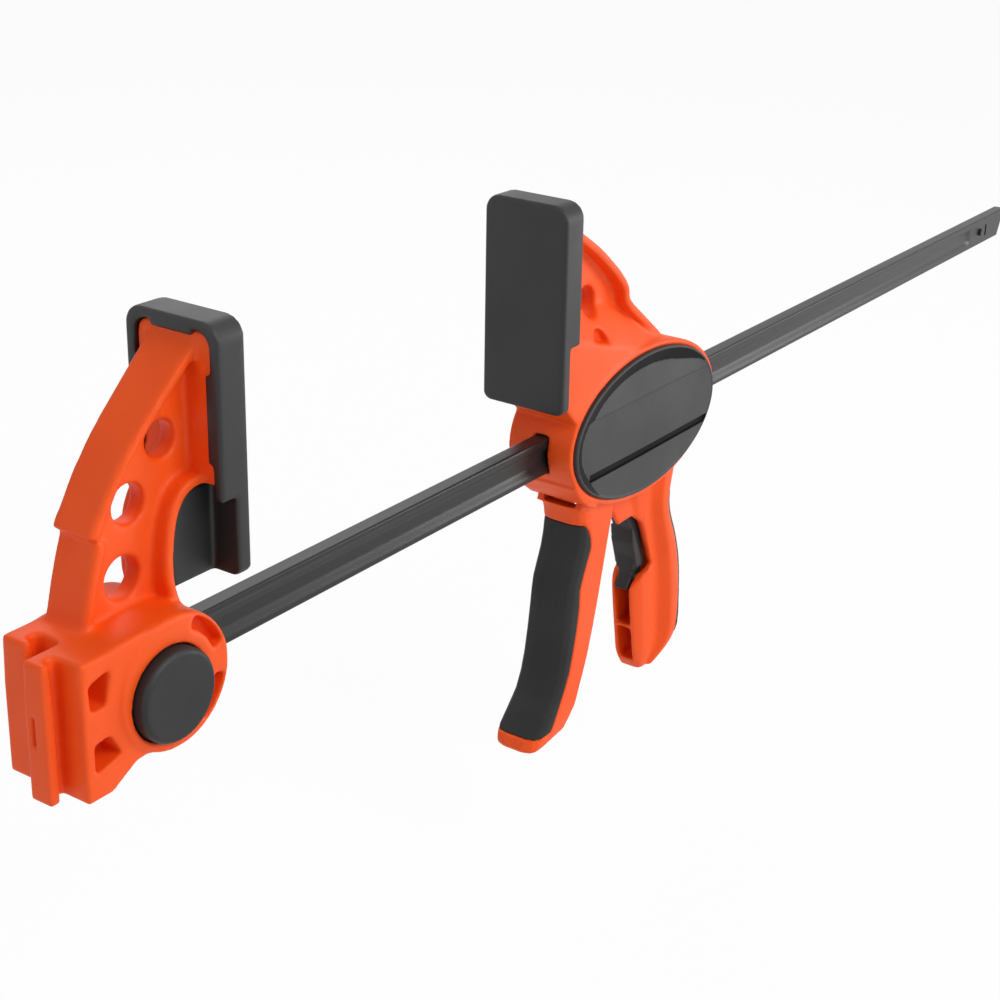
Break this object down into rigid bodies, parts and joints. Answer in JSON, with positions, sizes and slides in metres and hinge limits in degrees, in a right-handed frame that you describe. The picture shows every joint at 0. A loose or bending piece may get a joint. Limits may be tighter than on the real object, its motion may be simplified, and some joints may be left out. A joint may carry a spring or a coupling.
{
  "type": "quick release bar clamp",
  "caption": "One-handed trigger bar clamp: steel bar, fixed jaw with lock button, sliding jaw with pistol handle, trigger, release lever and soft pads.",
  "frame": {"origin": "centre of the fixed pad's clamping face", "axes": "+X along the bar, from the fixed jaw to the moving jaw; +Z from the bar up to the pads; -Y is the side with the lock button"},
  "size_m": [0.6547, 0.0374, 0.2037],
  "materials": {
    "orange_nylon": "satin moulded nylon",
    "pad_rubber": "satin, soft",
    "grip_rubber": "matte, soft",
    "black_plastic": "satin moulded",
    "bar_oxide": "black oxide, satin",
    "plain_steel": "plain hardened steel"
  },
  "bodies": {
    "fixed_end": {"bar": "bar_oxide", "bar_stop_pin": "bar_oxide", "fixed_jaw_body": "orange_nylon", "fixed_jaw_pad": "pad_rubber", "button_spring": "plain_steel"},
    "lock_button": {"release_button": "black_plastic", "lock_pin": "plain_steel", "lock_pin_clip": "plain_steel"},
    "moving_jaw": {"moving_jaw_body": "orange_nylon", "moving_jaw_pad": "pad_rubber", "near_cover": "black_plastic", "far_cover": "black_plastic", "handle_strip": "grip_rubber", "trigger_pin": "plain_steel", "release_lever_pin": "plain_steel", "drive_spring": "plain_steel", "brake_spring": "plain_steel"},
    "trigger": {"trigger": "orange_nylon", "trigger_grip": "grip_rubber"},
    "drive_lever": {"drive_lever": "plain_steel"},
    "brake_lever": {"brake_lever": "plain_steel"},
    "release_lever": {"release_lever": "black_plastic"}
  },
  "joints": [
    {"name": "jaw_travel", "type": "slide", "parent": "fixed_end", "child": "moving_jaw", "axis": [1, 0, 0], "range_m": [-0.1488, 0.2945]},
    {"name": "trigger_pull", "type": "hinge", "parent": "moving_jaw", "child": "trigger", "pos_m": [0.185, 0, -0.0422], "axis": [0, -1, 0], "range_deg": [0, 22], "stiffness_Nm_per_rad": 0.5, "springref_deg": -17.19, "deforming": ["drive_spring"]},
    {"name": "drive_push", "type": "slide", "parent": "moving_jaw", "child": "drive_lever", "axis": [1, 0, 0], "range_m": [0, 0.0056], "deforming": ["drive_spring"]},
    {"name": "release_press", "type": "hinge", "parent": "moving_jaw", "child": "release_lever", "pos_m": [0.22444, 0, -0.12704], "axis": [0, 1, 0], "range_deg": [0, 6.5], "stiffness_Nm_per_rad": 0.4, "springref_deg": -17.19},
    {"name": "brake_tip", "type": "hinge", "parent": "moving_jaw", "child": "brake_lever", "pos_m": [0.2182, 0, -0.0407], "axis": [0, -1, 0], "range_deg": [0, 5.5], "deforming": ["brake_spring"]},
    {"name": "button_press", "type": "slide", "parent": "fixed_end", "child": "lock_button", "axis": [0, 1, 0], "range_m": [0, 0.0018], "stiffness_N_per_m": 1500, "springref_m": -0.003, "deforming": ["button_spring"]}
  ],
  "couplings": [
    {"joint": "drive_push", "follows": "trigger_pull", "m_per_rad": 0.0145},
    {"joint": "brake_tip", "follows": "release_press", "ratio": 0.836}
  ]
}
